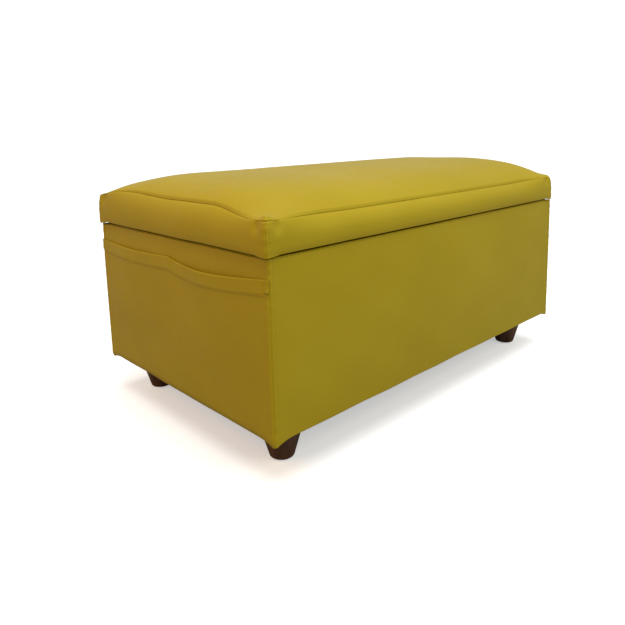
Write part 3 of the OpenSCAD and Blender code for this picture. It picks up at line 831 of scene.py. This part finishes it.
DRAWN_IN = 90 * MM            # how far in the seam's inset still moves the crown
CUSHION_DEPTH = 2.2 * MM      # how far the foam lies under the cover's face
PRESS_COLUMNS, PRESS_ROWS = 77, 49
CLOTH_FRAMES = 20
CLOTH_SHRINK = -0.006         # the cover is cut this much too large
CLOTH_PRESSURE = 4.0
CLOTH_CAP = 3 * MM            # the furthest that the simulation may move the cover
LID_SLACK = 2.4 * MM          # how far the band hangs below the lid board
CORNER_SAG = 4 * MM           # the same at its corners, which hang just outside the rim


def end_rise(y, top, corner=0.0):
    """How far the seam on an end bows up, y being measured from the lid's middle.

    It climbs quickly from the back corner, eases to a lower level and falls before the front corner.
    """
    t = 0.5 - y / (2 * LID_HALF_DEPTH)
    climb = corner + (top - corner) * smooth_step(t / 0.15)
    fall = smooth_step((0.92 - t) / 0.21)
    ease = 0.28 * smooth_step((t - 0.22) / 0.24)
    return climb * fall * (1 - ease)


def front_dip(edge):
    """How far the seam along the front dips between its corners."""
    return FRONT_DIP * smooth_step(edge / (220 * MM))


def seam_height(side, s):
    """The height of the top seam at a place along a side."""
    if side == "left":
        return SEAM_Z + end_rise(-s, LEFT_BOW, FAR_LIFT)
    if side == "right":
        return SEAM_Z + end_rise(s, RIGHT_BOW)
    if side == "front":
        return SEAM_Z - front_dip(LID_HALF_LENGTH - np.abs(s))
    lifted = smooth_step(1 - (LID_HALF_LENGTH - s) / SHOULDER_LEFT)
    return SEAM_Z + FAR_LIFT * lifted


def seam_inset(edge):
    """How far the top seam lies in from the fullest line of the band."""
    return CORNER_INSET + SIDE_INSET * smooth_step(edge / INSET_RUN)


def lid_swell(side, s, z, edge):
    """How far the band stands out from the box: it rolls in to the top seam and tucks in below."""
    t = (z - LID_Z) / (seam_height(side, s) - LID_Z)
    rolled = ROLL_ARC * np.clip((t - ROLL_START) / (1 - ROLL_START), 0, 1)
    above = (1 - np.sqrt(1 - rolled ** 2)) / (1 - math.sqrt(1 - ROLL_ARC ** 2))
    below = np.clip((ROLL_START - t) / ROLL_START, 0, 1) ** 2
    tuck = 0.5 * MM if side == "back" else 2.5 * MM
    away = smooth_step(edge / (40 * MM))
    seam = -SEAM_GROOVE * hump((1 - t) * BAND_HEIGHT, 0, GROOVE_WIDTH)
    dimple = -DIMPLE * hump(edge, DIMPLE_AT, 8 * MM) * hump(t, 0.84, 0.2)
    uneven = BAND_UNEVEN * ripples(s, z, 61 + SIDE_SEED[side], longest=0.4) * away
    bulge = -seam_inset(edge) * above - tuck * below * away
    return bulge + seam + dimple + uneven + corner_seam(edge, z, LID_STITCH, LID_SEAM)


def lid_sag(side, s, z, edge):
    """The band hangs slack under the board except along the hinges, and lower at its corners."""
    y = {"front": -LID_HALF_DEPTH, "right": s, "back": LID_HALF_DEPTH, "left": -s}[side]
    slack = LID_SLACK * smooth_step((LID_HALF_DEPTH - y) / (120 * MM))
    corner = CORNER_SAG * np.exp(-(edge / (33 * MM)) ** 4)
    return np.maximum(slack, corner) * smooth_step(1 - (z - LID_Z) / (30 * MM))


LID = SoftBox(LID_HALF_LENGTH, LID_HALF_DEPTH, LID_MIDDLE, LID_Z, LID_TOP, LID_CORNER, LID_EDGE, LID_FADE,
              lid_swell, lid_sag)


def make_lid_bands():
    """One band on each side, from the top seam down and in under the lid board."""
    up = 0.5 + both_ways(0.5, 0.014, 0.12, 0.06)
    under = steps_from_edge(UNDER_TURN, 1 * MM, 12 * MM, 4 * MM)[1:]
    t = np.concatenate([up[::-1], np.zeros(len(under))])
    d = np.concatenate([np.zeros(len(up)), under])
    for side in SIDES:
        s = both_ways(LID.half[side][0])[None, ::-1]
        z = LID_Z + t[:, None] * (seam_height(side, s) - LID_Z)
        points = sweep_side(LID, side, d, z)
        band = grid_piece(f"lid_band_cover_{side}", points, "lid", "leatherette", SKIN)
        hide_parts(f"lid_band_{side}")


def shoulder(d, run, roundness):
    """Share of the crown's rise at a distance d in from the seam."""
    return 1 - (1 - np.clip(d / run, 0, 1)) ** roundness


def seam_lift(u, v, dx, dy):
    """How far the top seam's bows and dips lift the crown, dx and dy being the distances from it."""
    end_run = np.where(u < 0, SHOULDER_LEFT, SHOULDER_RIGHT)
    side_run = np.where(v < 0, SHOULDER_FRONT, SHOULDER_BACK)
    bow = np.where(u < 0, end_rise(v, LEFT_BOW, FAR_LIFT), end_rise(v, RIGHT_BOW))
    dip = np.where(v < 0, front_dip(dx), 0)
    return bow * smooth_step(1 - dx / end_run) - dip * smooth_step(1 - dy / side_run)


def cushion(u, v, inside=0.0):
    """Points of the lid's crowned top over plan coordinates from the lid's middle."""
    dx, dy = LID_HALF_LENGTH - np.abs(u), LID_HALF_DEPTH - np.abs(v)
    near, far = np.minimum(dx, dy), np.maximum(dx, dy)
    end_run = np.where(u < 0, SHOULDER_LEFT, SHOULDER_RIGHT)
    side_run = np.where(v < 0, SHOULDER_FRONT, SHOULDER_BACK)
    rounded = shoulder(dx, end_run, END_ROUNDNESS) * shoulder(dy, side_run, SIDE_ROUNDNESS)
    lifted = seam_lift(u, v, dx, dy)
    corner = np.exp(-(far / LIP_REACH) ** 4)
    lip_height = np.where(u < 0, np.where(v < 0, LIP_FRONT_LEFT, LIP_BACK_LEFT), LIP_RIGHT)
    lip = lip_height * np.sin(math.pi / 2 * np.clip(near / LIP_RUN, 0, 1)) * corner
    rise = (CREST_Z - SEAM_Z - lifted) * rounded + lip
    uneven = TOP_UNEVEN * ripples(u, v, 71, longest=0.6, shortest=0.16) * smooth_step(near / (70 * MM))
    groove = SEAM_GROOVE * (1 + corner) * hump(near, 0, GROOVE_WIDTH)
    crease_depth = np.where(dx < dy, CREASE_END, CREASE_SIDE) + CREASE_CORNER * corner
    crease = crease_depth * hump(near, CREASE_AT, CREASE_WIDTH)
    # The plan's square corners are rounded, and the sides are drawn in to the seam
    core_x, core_y = LID_HALF_LENGTH - LID_CORNER, LID_HALF_DEPTH - LID_CORNER
    a = np.clip((np.abs(u) - core_x) / LID_CORNER, 0, 1)
    b = np.clip((np.abs(v) - core_y) / LID_CORNER, 0, 1)
    reach = LID_CORNER - CORNER_INSET - groove - inside
    draw_x = (seam_inset(dy) - CORNER_INSET) * np.clip(1 - dx / DRAWN_IN, 0, 1) ** 2
    draw_y = (seam_inset(dx) - CORNER_INSET) * np.clip(1 - dy / DRAWN_IN, 0, 1) ** 2
    x = np.sign(u) * (np.minimum(np.abs(u), core_x) + a * np.sqrt(1 - b * b / 2) * reach - draw_x)
    y = np.sign(v) * (np.minimum(np.abs(v), core_y) + b * np.sqrt(1 - a * a / 2) * reach - draw_y)
    z = SEAM_Z + lifted + rise + uneven - crease - inside
    return np.stack([x + LID_MIDDLE[0], y + LID_MIDDLE[1], z], axis=-1)


def crown_lines(half, first=0.04 * MM, growth=1.22, coarse=9 * MM):
    """Grid lines from -half to half, very close at the seam and ever wider further in."""
    inward, step = [0.0], first
    while inward[-1] + step < half - coarse / 2:
        inward.append(inward[-1] + step)
        step = min(coarse, step * growth)
    inward = np.array(inward)
    return np.concatenate([inward - half, [0.0], (half - inward)[::-1]])


def press_out():
    """A cloth simulation of the cover, held at its seam and pressed out by the foam.

    Returns the even grid lines it was run on and how far each of their crossings moved.
    """
    u = np.linspace(-LID_HALF_LENGTH, LID_HALF_LENGTH, PRESS_COLUMNS)
    v = np.linspace(-LID_HALF_DEPTH, LID_HALF_DEPTH, PRESS_ROWS)
    start = cushion(*np.meshgrid(u, v))
    mesh = bpy.data.meshes.new("pressed_cover")
    mesh.from_pydata([tuple(p) for p in start.reshape(-1, 3)], [], grid_faces(len(v), len(u)).tolist())
    cover = bpy.data.objects.new("pressed_cover", mesh)
    scene.collection.objects.link(cover)
    index = np.arange(start.shape[0] * start.shape[1]).reshape(start.shape[:2])
    held = np.concatenate([index[0], index[-1], index[:, 0], index[:, -1]])
    cover.vertex_groups.new(name="seam").add(held.tolist(), 1.0, "ADD")
    cloth = cover.modifiers.new("cloth", "CLOTH")
    cloth.settings.quality = 6
    cloth.settings.mass = 0.3
    cloth.settings.tension_stiffness = cloth.settings.compression_stiffness = 20
    cloth.settings.bending_stiffness = 2.0
    cloth.settings.vertex_group_mass = "seam"
    cloth.settings.use_pressure = True
    cloth.settings.uniform_pressure_force = CLOTH_PRESSURE
    cloth.settings.effector_weights.gravity = 0
    cloth.settings.shrink_min = CLOTH_SHRINK
    cloth.point_cache.frame_start, cloth.point_cache.frame_end = 1, CLOTH_FRAMES
    for now in range(1, CLOTH_FRAMES + 1):
        scene.frame_set(now)
    result = cover.evaluated_get(bpy.context.evaluated_depsgraph_get()).data
    moved = np.array([list(corner.co) for corner in result.vertices]).reshape(start.shape) - start
    scene.frame_set(1)
    bpy.data.objects.remove(cover)
    bpy.data.meshes.remove(mesh)
    furthest = np.linalg.norm(moved, axis=-1).max()
    return u, v, moved * min(1.0, CLOTH_CAP / max(furthest, 1e-9))


def catmull_rom(values, places, at):
    """Smooth values at the places asked for, from rows of values at even places."""
    t = (at - places[0]) / (places[1] - places[0])
    i = np.clip(t.astype(int), 0, len(places) - 2)
    f = (t - i)[:, None, None]
    a, b, c, d = (values[np.clip(i + k, 0, len(places) - 1)] for k in (-1, 0, 1, 2))
    return b + f / 2 * (c - a + f * (2 * a - 5 * b + 4 * c - d + f * (3 * (b - c) + d - a)))


def pressed(pressing, u, v, inside=0.0):
    """The cushion's points over the grid lines u and v, moved by the simulation's pressing."""
    even_u, even_v, moved = pressing
    across = catmull_rom(moved, even_v, v)
    along = catmull_rom(across.transpose(1, 0, 2), even_u, u).transpose(1, 0, 2)
    return cushion(*np.meshgrid(u, v), inside) + along


def make_cushion():
    """The lid's top cover and, closed underneath by the lid board's face, the foam inside it."""
    pressing = press_out()
    u, v = crown_lines(LID_HALF_LENGTH), crown_lines(LID_HALF_DEPTH)
    top = grid_piece("lid_top", pressed(pressing, u, v), "lid", "leatherette", SKIN)
    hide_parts("lid_top_cover")
    u, v = (crown_lines(half, 0.3 * MM, 1.5, 25 * MM) for half in (LID_HALF_LENGTH, LID_HALF_DEPTH))
    crown = pressed(pressing, u, v, CUSHION_DEPTH)
    base = crown.copy()
    base[..., 2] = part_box("lid_board")[1].z
    rows, columns = len(v), len(u)
    index = np.arange(rows * columns).reshape(rows, columns)
    rim = np.concatenate([index[0, :-1], index[:-1, -1], index[-1, :0:-1], index[:0:-1, 0]])
    after = np.roll(rim, -1)
    size = rows * columns
    walls = np.stack([rim + size, after + size, after, rim], axis=1)
    faces = np.concatenate([grid_faces(rows, columns), grid_faces(rows, columns)[:, ::-1] + size, walls])
    points = np.concatenate([crown.reshape(-1, 3), base.reshape(-1, 3)])
    foam_block = new_piece("lid_cushion", points, faces, "lid", "foam")
    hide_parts("lid_foam")


def make_lid_stitches():
    """The top stitches at the corners of the band."""
    z = pitched(LID_Z + 12 * MM, SEAM_Z - 4 * MM)
    corner_stitches("lid_corner_stitches", LID, z, LID_STITCH, "lid")


# --- Stage ----------------------------------------------------------------

FLOOR_REACH = 40.0
FLOOR_GLOW = 0.45             # brings the floor up to the white of the background
SKY_LIGHT = 0.34              # strength of the sky as a light
OVERHEAD_LIGHT = 1.9
OVERHEAD_ANGLE = math.radians(50)        # how wide, so how soft, the overhead light is
OVERHEAD_TILT = math.radians(6)


def emitter(name, place, aim, size, power, colour):
    """A soft rectangular light that shines from a place towards another."""
    data = bpy.data.lights.new(name, "AREA")
    data.shape = "RECTANGLE"
    data.size, data.size_y = size
    data.energy = power
    data.color = colour
    light = bpy.data.objects.new(name, data)
    scene.collection.objects.link(light)
    light.location = place
    light.rotation_euler = (Vector(aim) - Vector(place)).to_track_quat("-Z", "Y").to_euler()


def split_for_camera(tree, seen, lighting, output):
    """Show one shader to the camera and light everything else with the other."""
    mix = tree.nodes.new("ShaderNodeMixShader")
    path = tree.nodes.new("ShaderNodeLightPath")
    tree.links.new(path.outputs["Is Camera Ray"], mix.inputs["Fac"])
    tree.links.new(lighting, mix.inputs[1])
    tree.links.new(seen, mix.inputs[2])
    tree.links.new(mix.outputs["Shader"], tree.nodes[output].inputs["Surface"])


def make_floor_paint():
    """White paint, with a glow that the camera sees.

    What it throws back on the object is dimmer, as from a floor lit only round the set.
    """
    m = Nodes("pale_floor", Roughness=0.9, Specular_IOR_Level=0.1, Emission_Color=(1, 1, 1, 1),
              Emission_Strength=FLOOR_GLOW)
    m.finish(m.ramp(m.noise(3.0), [(0.3, (0.86, 0.86, 0.86)), (0.7, (0.88, 0.88, 0.88))]))
    dim = m.add("ShaderNodeBsdfDiffuse", {"Color": (0.31, 0.29, 0.26, 1)})
    split_for_camera(m.tree, m.shader.outputs["BSDF"], dim.outputs["BSDF"], "Material Output")
    return m.material


def make_floor():
    """A large pale floor."""
    mesh = bpy.data.meshes.new("floor")
    corners = [(x * FLOOR_REACH, y * FLOOR_REACH, 0) for x, y in ((-1, -1), (1, -1), (1, 1), (-1, 1))]
    mesh.from_pydata(corners, [], [(0, 1, 2, 3)])
    mesh.materials.append(make_floor_paint())
    floor = bpy.data.objects.new("floor", mesh)
    scene.collection.objects.link(floor)


def make_sky():
    """A white sky that lights the object less than it shows."""
    world = bpy.data.worlds.new("studio")
    world.use_nodes = True
    tree = world.node_tree
    seen = tree.nodes["Background"]
    lighting = tree.nodes.new("ShaderNodeBackground")
    for background, strength in ((seen, 1.0), (lighting, SKY_LIGHT)):
        background.inputs["Color"].default_value = (1, 1, 1, 1)
        background.inputs["Strength"].default_value = strength
    split_for_camera(tree, seen.outputs["Background"], lighting.outputs["Background"], "World Output")
    scene.world = world
    scene.view_settings.view_transform = "Standard"


def make_lights():
    """A wide soft light overhead, a warm one at the pocket's end, a front fill and a faint one behind."""
    data = bpy.data.lights.new("overhead", "SUN")
    data.energy = OVERHEAD_LIGHT
    data.angle = OVERHEAD_ANGLE
    overhead = bpy.data.objects.new("overhead", data)
    overhead.rotation_euler = (OVERHEAD_TILT, 0, 0)
    scene.collection.objects.link(overhead)
    emitter("warm_side", place=(-2.4, 0.3, 1.9), aim=(-0.4, 0, 0.3), size=(1.4, 1.2), power=21,
            colour=(1.0, 0.47, 0.06))
    emitter("front_fill", place=(0.3, -2.1, 1.6), aim=(0.1, -0.2, 0.4), size=(1.6, 1.0), power=17.5,
            colour=(1.0, 0.96, 0.76))
    emitter("back_sheen", place=(1.3, 1.9, 1.0), aim=(0, 0, 0.45), size=(3.0, 1.6), power=3,
            colour=(1.0, 1.0, 1.0))


make_camera()
make_floor()
make_sky()
make_lights()
dress_cad_nodes()
make_body_foam()
make_body_covers()
make_rim()
make_pocket()
make_body_stitches()
make_lining()
make_storage_floor()
flat_cloth("underside_cloth", "dust_cover", "base", seed=51, wave=0.8 * MM)
for corner_name in ("front_left", "front_right", "back_left", "back_right"):
    make_foot(f"foot_{corner_name}")
make_lid_bands()
make_cushion()
make_lid_stitches()
flat_cloth("lid_underside_cloth", "lid_liner", "lid", seed=53, wave=0.4 * MM)
